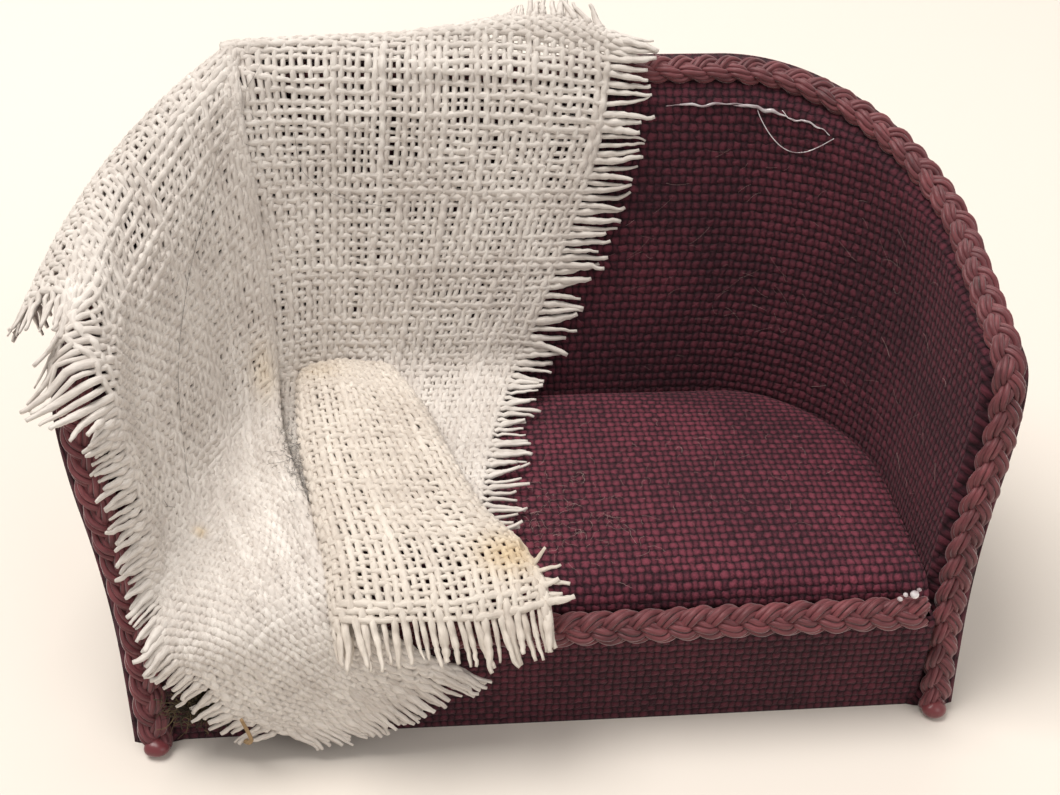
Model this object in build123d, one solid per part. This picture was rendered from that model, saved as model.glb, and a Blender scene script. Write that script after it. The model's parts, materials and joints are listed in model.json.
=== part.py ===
from build123d import *
import os

# Miniature tub settee with a loose gauze throw, 1:24 scale. Millimetres, +Z up, the front faces -Y.
# It is modelled with y = 0 on the front of the apron, then moved so that the middle of the base is at y = 0.

# ---- the tub wall: outside half width and outside back line at each height -------------------
wall_heights = (0.0, 10.0, 20.0, 38.0)
half_widths = (26.0, 26.4, 28.4, 28.8)
back_lines = (27.0, 28.0, 29.8, 33.6)
corner_radius = 15.0

# ---- layers of the wall, from the outside in --------------------------------------------------
cover_thickness = 0.4
card_thickness = 1.2
arm_padding = (1.0, 1.0, 0.9, 0.3)
back_padding_depths = (3.6, 3.6, 2.2, 0.3)

# ---- the edge of the wall, seen from the side ---------------------------------------------------
arm_front_height = 22.0
arm_front_lean = 5.8
arm_corner_radius = 5.0
top_edge_middle = (18.75, 25.4)
top_edge_end = (38.0, 34.5)

# ---- seat ---------------------------------------------------------------------------------------
base_card_thickness = 0.8
apron_height = 7.6
apron_card_thickness = 0.8
seat_block_top = 6.5
cushion_top = 9.9
cushion_set_back = 0.5
cushion_edge_radius = 1.2
cushion_clearance = 0.2

# ---- braid, glue and debris ---------------------------------------------------------------------
braid_width = 1.9
seat_braid_diameter = 1.7
seat_braid_end_gap = 0.3
glue_bead_size = 0.5
glue_bead_drop = 0.9
glue_bead_from, glue_bead_to = 8.0, 20.0
glue_dab_radius = 0.45
seat_glue_set_in = 1.2
tuft_size = (2.0, 0.85, 0.9)
tuft_from_side = 5.6
tuft_place = (tuft_from_side - half_widths[0], 1.6)
stalk_diameter = 0.3
stalk_from_tuft = ((1.4, -1.5, 1.6), (1.7, -2.6, 2.6), (1.8, -2.9, 4.6))
stalk_points = tuple((tuft_place[0] + x, y, z) for x, y, z in stalk_from_tuft)

# ---- throw --------------------------------------------------------------------------------------
throw_thickness = 0.5
throw_clearance = 0.35
throw_right_at_front = -4.5
throw_right_slant = 0.31
throw_arm_start = 7.5
throw_outside_drop = 17.0
flap_outline = (
    (-21.2, cushion_top), (-21.2, 6.8), (-17.4, 3.6), (-15.8, 1.0), (-4.5, 3.9), (0.3, 5.2),
    (0.3, cushion_top),
)

base_depth = back_lines[0]
reach = 60.0


def steps(*amounts):
    """The sum of several insets at each height; a single number counts at every height."""
    total = [0.0] * len(wall_heights)
    for amount in amounts:
        each = amount if isinstance(amount, tuple) else (amount,) * len(wall_heights)
        total = [a + b for a, b in zip(total, each)]
    return tuple(total)


inside_of_cover = steps(cover_thickness)
inside_of_card = steps(inside_of_cover, card_thickness)
arm_face = steps(inside_of_card, arm_padding, cover_thickness)
back_face = steps(inside_of_card, back_padding_depths, cover_thickness)


def tub_section(height, half_width, back_line, radius):
    """The plan of a filled tub at one height: straight arms, two round corners, a straight back."""
    left, right, front = -half_width, half_width, -reach / 4
    side_end, corner = back_line - radius, half_width - radius
    diagonal = radius * 0.5 ** 0.5
    points = [(left, front), (left, side_end), (-corner, back_line), (corner, back_line),
              (right, side_end), (right, front)]
    left_turn = (-corner - diagonal, side_end + diagonal)
    right_turn = (corner + diagonal, side_end + diagonal)
    edges = [
        Line(points[0], points[1]),
        ThreePointArc(points[1], left_turn, points[2]),
        Line(points[2], points[3]),
        ThreePointArc(points[3], right_turn, points[4]),
        Line(points[4], points[5]),
        Line(points[5], points[0]),
    ]
    return Pos(0, 0, height) * make_face(Curve() + edges)


def filled_tub(side_insets, back_insets):
    """A solid with the outside shape of the wall, drawn in by an inset at each height."""
    sections = []
    for height, half, back, side_in, back_in in zip(
        wall_heights, half_widths, back_lines, side_insets, back_insets
    ):
        radius = corner_radius - side_in
        sections.append(tub_section(height, half - side_in, back - back_in, radius))
    return loft(sections, ruled=True)


def side_profile(outset):
    """The side view of the wall as a slab across the settee, grown by an outset."""
    front_foot, front_top = (0, 0), (arm_front_lean, arm_front_height)
    edges = [
        Line(front_foot, front_top),
        ThreePointArc(front_top, top_edge_middle, top_edge_end),
        Line(top_edge_end, (top_edge_end[0], 0)),
        Line((top_edge_end[0], 0), front_foot),
    ]
    face = make_face(Curve() + edges)
    corner = face.vertices().sort_by(lambda v: abs(v.X - front_top[0]) + abs(v.Y - front_top[1]))[0]
    face = fillet(corner, arm_corner_radius)
    if outset:
        face = offset(face, amount=outset)
    upright = Plane(origin=(0, 0, 0), x_dir=(0, 1, 0), z_dir=(1, 0, 0))
    return extrude(upright * face, amount=reach, both=True)


def block(low, high):
    """A box between two corners."""
    size = [b - a for a, b in zip(low, high)]
    middle = [(a + b) / 2 for a, b in zip(low, high)]
    return Pos(*middle) * Box(*size)


def above_floor(shape):
    """The part of a shape over the surface that the settee stands on."""
    return shape & block((-reach, -reach, 0), (reach, reach, reach))


def wall_layer(outer, inner):
    """One layer of the wall, between two insets, each given as (sides, back)."""
    return (filled_tub(*outer) - filled_tub(*inner)) & side_profile(0)


outside = (steps(0.0), steps(0.0))
cover_back = (inside_of_cover, inside_of_cover)
card_inside = (inside_of_card, inside_of_card)
padding_inside = (steps(arm_face, -cover_thickness), steps(back_face, -cover_thickness))
seat_space = (arm_face, back_face)


def make_padding():
    """The wadding on the card: one piece across the back and its corners, one along each arm."""
    whole = wall_layer(card_inside, padding_inside)
    seam = min(back_lines) - corner_radius
    back = whole & block((-reach, seam, 0), (reach, reach, reach))
    left = whole & block((-reach, -reach, 0), (0, seam, reach))
    right = whole & block((0, -reach, 0), (reach, seam, reach))
    return back, left, right


def make_seat():
    """Base card, wooden block, apron and cushion, all fitted to the space inside the wall."""
    space = filled_tub(*seat_space)
    card_back = cover_thickness + apron_card_thickness
    base = space & block((-reach, card_back, 0), (reach, reach, base_card_thickness))
    wood = space & block((-reach, card_back, base_card_thickness), (reach, reach, seat_block_top))
    apron_card = space & block((-reach, cover_thickness, 0), (reach, card_back, apron_height))
    apron_cover = space & block((-reach, 0, 0), (reach, cover_thickness, apron_height))
    return base, wood, apron_card, apron_cover


def cushion_solid(inset):
    """The cushion as a closed solid, drawn in on every side by an inset."""
    gap = cushion_clearance + inset
    space = filled_tub(steps(arm_face, gap), steps(back_face, gap))
    front = cover_thickness + apron_card_thickness + cushion_set_back + inset
    low, high = seat_block_top + inset, cushion_top - inset
    solid = space & block((-reach, front, low), (reach, reach, high))
    top_edges = solid.faces().sort_by(Axis.Z)[-1].edges()
    front_top = top_edges.sort_by(Axis.Y)[0]
    return fillet(front_top, cushion_edge_radius - inset / 2)


def make_edge_braid():
    """The braid along the whole edge of the wall, from the floor over the back to the floor."""
    middle_sides = tuple(inset / 2 for inset in arm_face)
    half = braid_width / 2
    outer = steps(middle_sides, -half)
    inner = steps(middle_sides, half)
    band = filled_tub(outer, outer) - filled_tub(inner, inner)
    return above_floor(band & (side_profile(braid_width) - side_profile(0)))


def make_seat_braid():
    """The braid over the top edge of the apron."""
    half_length = half_widths[0] - arm_face[0] - seat_braid_end_gap
    radius = seat_braid_diameter / 2
    rod = Cylinder(radius, 2 * half_length, rotation=(0, 90, 0))
    return Pos(0, cover_thickness / 2, apron_height + radius) * rod


def make_glue():
    """The bead under the top braid, the blob at the seat's corner and a dab at each braid end."""
    inner_skin = filled_tub(*seat_space) - filled_tub(
        steps(arm_face, glue_bead_size), steps(back_face, glue_bead_size)
    )
    strip = side_profile(-glue_bead_drop) - side_profile(-glue_bead_drop - glue_bead_size)
    place = block((glue_bead_from, base_depth / 2, arm_front_height), (glue_bead_to, reach, reach))
    bead = inner_skin & strip & place
    corner_x = half_widths[0] - arm_face[0] - seat_glue_set_in
    corner_z = apron_height + seat_braid_diameter + glue_dab_radius
    blob = Pos(corner_x, cover_thickness / 2, corner_z) * Sphere(glue_dab_radius)
    braid_middle = half_widths[0] - arm_face[0] / 2
    dabs = [
        Pos(side * braid_middle, -braid_width - glue_dab_radius, glue_dab_radius)
        * Sphere(glue_dab_radius)
        for side in (-1, 1)
    ]
    return bead, blob, Compound(children=dabs)


def make_debris():
    """The dried moss caught at the foot of the apron, and its stalk."""
    length, depth, height = tuft_size
    x, z = tuft_place
    tuft = Pos(x, -depth, z) * scale(Sphere(1), (length, depth, height))
    stalk = None
    radius = stalk_diameter / 2
    for start, end in zip(stalk_points, stalk_points[1:]):
        run = Vector(*end) - Vector(*start)
        rod = Plane(origin=start, z_dir=run) * Cylinder(
            radius, run.length, align=(Align.CENTER, Align.CENTER, Align.MIN)
        )
        ball = Pos(*end) * Sphere(radius)
        stalk = rod + ball if stalk is None else stalk + rod + ball
    return tuft, stalk - tuft


def throw_jacket(gap):
    """The wall with its braid, grown by a gap on every side, and with straight outer sides."""
    widest, radius = half_widths[-1] + gap, corner_radius + gap
    section = tub_section(0, widest, back_lines[-1] + gap, radius)
    shell = extrude(section, amount=reach) - filled_tub(
        steps(arm_face, gap), steps(back_face, gap)
    )
    return shell & side_profile(braid_width + gap)


def make_throw():
    """The throw as one thin closed slab: over the wall's left part, the seat and the apron."""
    inner_gap, outer_gap = throw_clearance, throw_clearance + throw_thickness
    low = cushion_top + inner_gap
    high = cushion_top + outer_gap
    on_wall = throw_jacket(outer_gap) - throw_jacket(inner_gap)
    inside = filled_tub(steps(arm_face), steps(back_face))
    kept_inside = inside & block((-reach, throw_arm_start, low), (reach, reach, reach))
    kept_above = block((-reach, throw_arm_start, throw_outside_drop), (reach, reach, reach))
    on_wall = on_wall & (kept_inside + kept_above)

    front_face = -seat_braid_diameter / 2 - throw_clearance
    seat_room = filled_tub(steps(arm_face, inner_gap), steps(back_face, inner_gap))
    on_seat = seat_room & block((-reach, front_face, low), (reach, reach, high))
    upright = Plane(origin=(0, front_face, 0), x_dir=(1, 0, 0), z_dir=(0, -1, 0))
    outline = [(x, z if z < cushion_top else high) for x, z in flap_outline]
    flap = extrude(upright * make_face(Polyline(*outline, close=True)), amount=throw_thickness)
    lip = block(
        (flap_outline[0][0], front_face - throw_thickness, low),
        (flap_outline[-1][0], front_face, high),
    )

    right_far = throw_right_at_front + throw_right_slant * reach
    plan = make_face(Polyline(
        (-reach, 0), (throw_right_at_front, 0), (right_far, reach), (-reach, reach), close=True
    ))
    left_part = extrude(plan, amount=reach)
    return ((on_wall + on_seat) & left_part) + flap + lip + (
        on_seat & block((flap_outline[0][0], front_face, low), (flap_outline[-1][0], 0, high))
    )


back_pad, left_pad, right_pad = make_padding()
base_card, seat_block, apron_card, apron_cover = make_seat()
cushion_pad = cushion_solid(cover_thickness)
cushion_cover = cushion_solid(0.0) - cushion_pad
edge_glue_bead, seat_corner_glue, braid_end_glue = make_glue()
moss_tuft, moss_stalk = make_debris()

nodes = {
    "base_card": base_card,
    "seat_block": seat_block,
    "tub_card": wall_layer(cover_back, card_inside),
    "back_padding": back_pad,
    "left_arm_padding": left_pad,
    "right_arm_padding": right_pad,
    "inner_cover": wall_layer(padding_inside, seat_space),
    "outer_cover": wall_layer(outside, cover_back),
    "cushion_pad": cushion_pad,
    "cushion_cover": cushion_cover,
    "apron_card": apron_card,
    "apron_cover": apron_cover,
    "edge_braid": make_edge_braid(),
    "seat_braid": make_seat_braid(),
    "edge_glue_bead": edge_glue_bead,
    "seat_corner_glue": seat_corner_glue,
    "braid_end_glue": braid_end_glue,
    "moss_tuft": moss_tuft,
    "moss_stalk": moss_stalk,
    "throw": make_throw(),
}

os.makedirs("parts", exist_ok=True)
for name, shape in nodes.items():
    export_step(Pos(0, -base_depth / 2, 0) * shape, f"parts/{name}.step")
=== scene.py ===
import json
import math

import bpy
import numpy as np
from mathutils import Matrix, Vector, kdtree
from mathutils.bvhtree import BVHTree


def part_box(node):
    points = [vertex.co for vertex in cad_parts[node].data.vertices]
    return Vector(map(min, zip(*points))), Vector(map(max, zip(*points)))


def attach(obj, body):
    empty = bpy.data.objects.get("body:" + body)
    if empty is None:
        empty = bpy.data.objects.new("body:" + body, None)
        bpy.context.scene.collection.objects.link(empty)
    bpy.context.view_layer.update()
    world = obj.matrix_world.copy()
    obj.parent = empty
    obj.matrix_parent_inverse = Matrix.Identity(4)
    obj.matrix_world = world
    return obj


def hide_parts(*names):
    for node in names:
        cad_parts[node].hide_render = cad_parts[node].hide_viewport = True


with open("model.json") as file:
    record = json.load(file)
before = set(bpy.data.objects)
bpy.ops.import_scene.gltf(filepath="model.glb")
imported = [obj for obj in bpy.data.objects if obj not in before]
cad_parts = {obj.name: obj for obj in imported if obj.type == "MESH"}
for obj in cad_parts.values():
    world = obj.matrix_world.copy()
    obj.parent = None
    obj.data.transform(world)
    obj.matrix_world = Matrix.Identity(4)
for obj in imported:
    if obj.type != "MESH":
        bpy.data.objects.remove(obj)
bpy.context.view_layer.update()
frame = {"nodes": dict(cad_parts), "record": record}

bl_info = {
    "name": "Miniature Tub Settee",
    "version": (1, 0, 0),
    "blender": (4, 5, 0),
    "location": "View3D > Sidebar > Settee",
    "description": "Upholsters a dolls' house tub settee and lays a gauze throw over it",
    "category": "Add Mesh",
}

MM = 0.001
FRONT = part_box("apron_cover")[0].y / MM          # front face of the apron
APRON_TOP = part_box("apron_cover")[1].z / MM
SEAT_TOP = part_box("cushion_cover")[1].z / MM
SEAT_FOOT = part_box("cushion_cover")[0].z / MM
SEAT_BRAID_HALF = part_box("seat_braid")[1].x / MM


# ---- the settee's shape, with the CAD part's own values, in millimetres -------------------------
WALL_HEIGHTS = (0.0, 10.0, 20.0, 38.0)
HALF_WIDTHS = (26.0, 26.4, 28.4, 28.8)
BACK_LINES = tuple(FRONT + y for y in (27.0, 28.0, 29.8, 33.6))
CORNER_RADIUS = 15.0
ARM_THICKNESS = (3.0, 3.0, 2.9, 2.3)
BACK_THICKNESS = (5.6, 5.6, 4.2, 2.3)
ARM_FRONT = (5.8, 22.0)
TOP_EDGE = ((5.8, 22.0), (18.75, 25.4), (38.0, 34.5))
CORNER_SOFTNESS = 1.6
BRAID_LIFT = 0.68          # from the wall's edge to the middle of the braid
BRAID_RADIUS = 0.85


def circle_through(a, b, c):
    """(centre y, centre z, radius) of the circle through three points."""
    (ax, ay), (bx, by), (cx, cy) = a, b, c
    d = 2 * (ax * (by - cy) + bx * (cy - ay) + cx * (ay - by))
    a2, b2, c2 = ax * ax + ay * ay, bx * bx + by * by, cx * cx + cy * cy
    ux = (a2 * (by - cy) + b2 * (cy - ay) + c2 * (ay - by)) / d
    uy = (a2 * (cx - bx) + b2 * (ax - cx) + c2 * (bx - ax)) / d
    return ux, uy, math.hypot(ax - ux, ay - uy)


TOP_CIRCLE = circle_through(*TOP_EDGE)


def smooth_steps(z, values):
    """A value that changes with height, with its corners rounded."""
    z = np.asarray(z, float)
    span = np.linspace(-4.0, 4.0, 9)
    return np.mean([np.interp(z + d, WALL_HEIGHTS, values) for d in span], axis=0)


def edge_height(y):
    """How high the wall's edge is at a depth y, seen from the side."""
    y = np.asarray(y, float) - FRONT
    front = y * ARM_FRONT[1] / ARM_FRONT[0]
    cy, cz, r = TOP_CIRCLE
    inside = np.maximum(r * r - (np.maximum(y, -5) - cy) ** 2, 0)
    sign = -1.0 if cz > TOP_EDGE[1][1] else 1.0
    top = cz + sign * np.sqrt(inside)
    k = CORNER_SOFTNESS
    low = -k * np.log(np.exp(-np.clip(front, -60, 60) / k) + np.exp(-np.clip(top, -60, 60) / k))
    return np.maximum(low, 0.0)


STRAIGHT = BACK_LINES[1] - CORNER_RADIUS - FRONT
TURN = math.pi / 2 * (CORNER_RADIUS - ARM_THICKNESS[1])
ACROSS = 2 * (HALF_WIDTHS[1] - CORNER_RADIUS)
ROUND = 2 * STRAIGHT + 2 * TURN + ACROSS


def wall_point(s, z, depth):
    """The wall's point at s round its plan, from the left arm's front, and at height z.
    depth is 0 on the outside and 1 on the inside."""
    s, z = np.broadcast_arrays(np.asarray(s, float), np.asarray(z, float))
    side = smooth_steps(z, ARM_THICKNESS) * depth
    back_in = smooth_steps(z, BACK_THICKNESS) * depth
    half = smooth_steps(z, HALF_WIDTHS) - side
    back = smooth_steps(z, BACK_LINES) - back_in
    radius = CORNER_RADIUS - side
    t = np.where(s > ROUND / 2, ROUND - s, s)
    flip = np.where(s > ROUND / 2, 1.0, -1.0)
    side_end, corner = back - radius, half - radius
    on_arm = np.clip(t / STRAIGHT, 0, 1)
    on_turn = np.clip((t - STRAIGHT) / TURN, 0, 1) * math.pi / 2
    on_back = np.clip((t - STRAIGHT - TURN) / (ACROSS / 2), 0, 1)
    x = corner + radius * np.cos(on_turn) - corner * on_back
    y = np.where(t < STRAIGHT, FRONT + (side_end - FRONT) * on_arm, side_end + radius * np.sin(on_turn))
    return np.stack([flip * x, y, z], -1)


def wall_top(s, depth=0.5):
    """The height of the wall's edge at s."""
    z = np.full(np.shape(s), 20.0)
    for _ in range(12):
        z = edge_height(wall_point(s, z, depth)[..., 1])
    return z


# ---- meshes ----------------------------------------------------------------------------------------
def add_mesh(name, points, faces, material, body="settee", uv=None, values=None):
    """A piece in millimetres, with its material, that rides on a body."""
    mesh = bpy.data.meshes.new(name)
    mesh.from_pydata([tuple(p) for p in np.asarray(points, float) * MM], [], [tuple(f) for f in faces])
    mesh.polygons.foreach_set("use_smooth", [True] * len(mesh.polygons))
    if uv is not None:
        layer = mesh.uv_layers.new(name="cloth")
        index = np.empty(len(mesh.loops), np.int32)
        mesh.loops.foreach_get("vertex_index", index)
        layer.data.foreach_set("uv", np.asarray(uv, np.float32)[index].ravel())
    for key, numbers in (values or {}).items():
        attribute = mesh.attributes.new(key, "FLOAT", "POINT")
        attribute.data.foreach_set("value", np.asarray(numbers, np.float32))
    mesh.materials.append(material)
    mesh.update()
    piece = bpy.data.objects.new(name, mesh)
    bpy.context.scene.collection.objects.link(piece)
    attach(piece, body)
    return piece


def grid_faces(rows, columns, start=0, wrap=False):
    """Quads of a grid of points, row after row."""
    r, c = np.meshgrid(np.arange(rows - 1), np.arange(columns - (0 if wrap else 1)), indexing="ij")
    a = r * columns + c
    b = r * columns + (c + 1) % columns
    return (np.stack([a, b, b + columns, a + columns], -1).reshape(-1, 4) + start).tolist()


def closed_faces(rings, sides):
    """Faces of a tube of rings, with both its ends closed."""
    last = (rings - 1) * sides
    return grid_faces(rings, sides, wrap=True) + [list(range(sides))[::-1], list(range(last, last + sides))]


def unit(vectors):
    """The same directions, each with a length of 1."""
    return vectors / np.maximum(np.linalg.norm(vectors, axis=-1, keepdims=True), 1e-9)


def lengths(points, axis):
    """Running length along one axis of a grid of points."""
    step = np.linalg.norm(np.diff(points, axis=axis), axis=-1)
    zero = np.zeros_like(np.take(step, [0], axis=axis))
    return np.concatenate([zero, np.cumsum(step, axis=axis)], axis=axis)


def tube(points, radii, sides, normal=None):
    """(vertices, faces) of a closed tube along points; radii may be a number, a list or (wide, thick)."""
    points = np.asarray(points, float)
    n = len(points)
    tangent = unit(np.gradient(points, axis=0))
    if normal is None:
        normal = np.tile([0.12, 0.31, 0.94], (n, 1))
    side = unit(np.cross(tangent, normal))
    up = np.cross(side, tangent)
    radii = np.asarray(radii, float)
    wide, thick = (radii[:, 0], radii[:, 1]) if radii.ndim == 2 else (np.broadcast_to(radii, n),) * 2
    angle = np.linspace(0, 2 * math.pi, sides, endpoint=False)
    ring = (points[:, None] + side[:, None] * (np.cos(angle)[None, :, None] * wide[:, None, None])
            + up[:, None] * (np.sin(angle)[None, :, None] * thick[:, None, None]))
    return ring.reshape(-1, 3), closed_faces(n, sides)


class Bundle:
    """Many tubes gathered into one piece."""

    def __init__(self):
        self.points, self.faces, self.uvs = [], [], []
        self.tones, self.warms = [], []
        self.count = 0

    def add(self, points, faces, tone=0.5, uv=None, warm=0.0):
        self.points.append(np.asarray(points))
        self.faces += [[i + self.count for i in f] for f in faces]
        self.tones.append(np.broadcast_to(np.asarray(tone, float), len(points)))
        self.warms.append(np.broadcast_to(np.asarray(warm, float), len(points)))
        self.uvs.append(np.zeros((len(points), 2)) if uv is None else uv)
        self.count += len(points)

    def piece(self, name, material, body="settee"):
        return add_mesh(name, np.concatenate(self.points), self.faces, material, body,
                        uv=np.concatenate(self.uvs),
                        values={"tone": np.concatenate(self.tones), "warm": np.concatenate(self.warms)})


def wander(rng, n, step, size):
    """A smooth random line of n values: one knot every `step` of them."""
    knots = rng.normal(0, size, max(int(n / step) + 3, 4))
    at = np.linspace(0, len(knots) - 1.001, n)
    i = at.astype(int)
    f = at - i
    f = f * f * (3 - 2 * f)
    return knots[i] * (1 - f) + knots[np.minimum(i + 1, len(knots) - 1)] * f


# ---- node materials --------------------------------------------------------------------------------
class Nodes:
    """Short words for building one material's nodes."""

    def __init__(self, name):
        self.material = bpy.data.materials.new(name)
        self.material.use_nodes = True
        self.tree = self.material.node_tree
        self.shader = self.tree.nodes["Principled BSDF"]

    def put(self, socket, value):
        if isinstance(value, bpy.types.NodeSocket):
            self.tree.links.new(value, socket)
        elif value is not None:
            socket.default_value = value

    def make(self, kind, inputs=(), output=0, **settings):
        node = self.tree.nodes.new(kind)
        for key, value in settings.items():
            setattr(node, key, value)
        for key, value in (inputs.items() if isinstance(inputs, dict) else enumerate(inputs)):
            self.put(node.inputs[key], value)
        return node.outputs[output]

    def math(self, operation, *values):
        return self.make("ShaderNodeMath", values, operation=operation)

    def noise(self, where, scale, detail=2.0, rough=0.5):
        return self.make("ShaderNodeTexNoise", {"Vector": where, "Scale": scale, "Detail": detail,
                                                "Roughness": rough})

    def scaled_noise(self, where, factors, detail=2.0, rough=0.5):
        """Noise over coordinates that are scaled along each axis first."""
        scaled = self.make("ShaderNodeVectorMath", (where, factors), operation="MULTIPLY")
        return self.noise(scaled, 1.0, detail, rough)

    def ramp(self, value, low, high, to_low=0.0, to_high=1.0):
        return self.make("ShaderNodeMapRange", (value, low, high, to_low, to_high))

    def mix(self, factor, a, b, blend="MIX"):
        node = self.tree.nodes.new("ShaderNodeMix")
        node.data_type, node.blend_type = "RGBA", blend
        for key, value in ((0, factor), (6, a), (7, b)):
            self.put(node.inputs[key], value)
        return node.outputs[2]

    def set(self, **sockets):
        for key, value in sockets.items():
            self.put(self.shader.inputs[key.replace("_", " ")], value)

    def bump(self, height, distance, strength=1.0):
        node = self.tree.nodes.new("ShaderNodeBump")
        self.put(node.inputs["Height"], height)
        node.inputs["Distance"].default_value = distance
        node.inputs["Strength"].default_value = strength
        self.put(self.shader.inputs["Normal"], node.outputs[0])


def weave_nodes(n, across, along, wobble):
    """Plain weave from cloth coordinates in millimetres: height, warp, weft, u, v and the coordinates."""
    uv = n.make("ShaderNodeUVMap", uv_map="cloth")
    drift = n.scaled_noise(uv, (1.1, 1.1, 1.1))
    fine = n.scaled_noise(uv, (3.1, 3.1, 3.1))
    parts = n.tree.nodes.new("ShaderNodeSeparateXYZ")
    n.put(parts.inputs[0], uv)
    shift = n.math("MULTIPLY", n.math("SUBTRACT", drift, 0.5), wobble)
    fine_shift = n.math("MULTIPLY", n.math("SUBTRACT", fine, 0.5), wobble * 0.9)
    u = n.math("ADD", n.math("ADD", n.math("DIVIDE", parts.outputs[0], across), shift), fine_shift)
    v = n.math("SUBTRACT", n.math("ADD", n.math("DIVIDE", parts.outputs[1], along), shift), fine_shift)
    row, column = n.math("FLOOR", v), n.math("FLOOR", u)

    def yarn(place, travel, number, turn):
        frac = n.math("FRACT", place)
        body = n.math("SQRT", n.math("ABSOLUTE", n.math("SINE", n.math("MULTIPLY", frac, math.pi))))
        phase = n.math("MULTIPLY", n.math("ADD", n.math("SUBTRACT", travel, 0.5), number), math.pi)
        wave = n.math("MULTIPLY", n.math("COSINE", phase), turn)
        return n.math("MULTIPLY", body, n.math("MULTIPLY_ADD", wave, 0.42, 0.58))

    warp = yarn(u, v, column, 1.0)
    weft = yarn(v, u, row, -1.0)
    height = n.math("MAXIMUM", warp, weft)
    return height, warp, weft, u, v, uv


def yarn_tone(n, u, v):
    """Each yarn's own tone, from 0 to 1, for the warp and the weft."""
    def tone(place, along, seed):
        spot = n.make("ShaderNodeCombineXYZ", (n.math("FLOOR", place), n.math("MULTIPLY", along, 0.12), seed))
        return n.noise(spot, 0.9, 3.0)
    return tone(u, v, 3.0), tone(v, u, 8.0)


def upholstery_material(name, shade, lit, across, along):
    """Matt plain-weave cloth with uneven yarns and a little lint, with painted light: painted shade in the
    gaps between the yarns, yarn crowns painted lighter, and weft-top cells painted lighter than warp-top
    ones, as for light from above.
    """
    n = Nodes(name)
    height, warp, weft, u, v, uv = weave_nodes(n, across, along, 0.55)
    tone_u, tone_v = yarn_tone(n, u, v)
    on_top = n.math("GREATER_THAN", warp, weft)
    tone = n.math("ADD", n.math("MULTIPLY", on_top, tone_u),
                  n.math("MULTIPLY", n.math("SUBTRACT", 1.0, on_top), tone_v))
    fibre = n.scaled_noise(uv, (14.0, 9.0, 1.0), 3.0)
    patch = n.scaled_noise(uv, (0.14, 0.14, 0.14), 3.0)
    # Painted light: the higher a yarn's surface stands, the lighter it is painted; tone, fibre and patches
    # are the cloth's own unevenness.
    level = n.math("ADD", n.ramp(height, 0.25, 1.0, -0.25, 0.52), n.ramp(tone, 0.3, 0.7, -0.16, 0.2))
    level = n.math("ADD", level, n.ramp(fibre, 0.35, 0.75, -0.12, 0.22))
    level = n.math("ADD", level, n.ramp(patch, 0.35, 0.65, -0.1, 0.14))
    # Painted light: warp-top cells are painted darker and weft-top cells lighter, as for light from above.
    level = n.math("ADD", level, n.math("MULTIPLY_ADD", on_top, -0.26, 0.12))
    # Painted shade: the gaps between the yarns, low in the weave, are painted near black.
    gap = (shade[0] * 0.22, shade[1] * 0.22, shade[2] * 0.24, 1)
    colour = n.mix(n.ramp(height, 0.2, 0.62), gap, n.mix(n.ramp(level, 0.0, 1.0), shade, lit))
    flecks = n.scaled_noise(uv, (5.3, 5.3, 1.0), 6.0, 0.75)
    colour = n.mix(n.ramp(flecks, 0.69, 0.8, 0.0, 0.55), colour, (0.24, 0.12, 0.13, 1))
    n.set(Base_Color=colour, Roughness=n.ramp(fibre, 0.3, 0.7, 0.72, 0.92))
    n.set(Sheen_Weight=0.10, Sheen_Roughness=0.45, Sheen_Tint=(0.75, 0.45, 0.5, 1), Specular_IOR_Level=0.22)
    relief = n.math("ADD", height, n.math("MULTIPLY", fibre, 0.3))
    n.bump(relief, 0.00022, 0.9)
    return n.material


def thread_material(name, dark, light, roughness, fibre_scale, sheen=0.3, warm=None):
    """Spun thread: each has its own tone, with fine fibres along it."""
    n = Nodes(name)
    tone = n.make("ShaderNodeAttribute", attribute_name="tone", output=2)
    where = n.make("ShaderNodeTexCoord", output=3)
    uv = n.make("ShaderNodeUVMap", uv_map="cloth")
    fibre = n.scaled_noise(uv, (fibre_scale, fibre_scale * 0.2, 1), 3.0)
    patch = n.noise(where, 260.0, 3.0)
    level = n.math("ADD", n.math("MULTIPLY", tone, 0.55), n.ramp(fibre, 0.3, 0.7, -0.15, 0.35))
    level = n.math("ADD", level, n.ramp(patch, 0.35, 0.65, -0.1, 0.15))
    colour = n.mix(n.ramp(level, 0.0, 1.0), dark, light)
    if warm:
        stain = n.make("ShaderNodeAttribute", attribute_name="warm", output=2)
        colour = n.mix(stain, colour, n.mix(1.0, colour, warm, "MULTIPLY"))
    n.set(Base_Color=colour, Roughness=roughness)
    n.set(Sheen_Weight=sheen, Sheen_Roughness=0.4, Specular_IOR_Level=0.35)
    n.bump(fibre, 0.00006, 0.7)
    return n.material


def glue_material():
    """Clear set glue, cloudy in places."""
    n = Nodes("set_glue")
    where = n.make("ShaderNodeTexCoord", output=3)
    cloud = n.noise(where, 900.0, 4.0)
    n.set(Base_Color=n.mix(n.ramp(cloud, 0.4, 0.65), (0.34, 0.26, 0.28, 1), (0.86, 0.83, 0.84, 1)))
    n.set(Roughness=0.12, IOR=1.48, Coat_Weight=0.6, Transmission_Weight=0.35)
    n.bump(cloud, 0.0001, 0.6)
    return n.material


def debris_material(name, dark, light):
    """Dry plant fibre."""
    n = Nodes(name)
    tone = n.make("ShaderNodeAttribute", attribute_name="tone", output=2)
    where = n.make("ShaderNodeTexCoord", output=3)
    mottle = n.noise(where, 1400.0, 4.0)
    level = n.math("ADD", n.math("MULTIPLY", tone, 0.7), n.ramp(mottle, 0.35, 0.7, -0.1, 0.35))
    n.set(Base_Color=n.mix(level, dark, light), Roughness=0.85)
    n.bump(mottle, 0.0001, 0.8)
    return n.material


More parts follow.
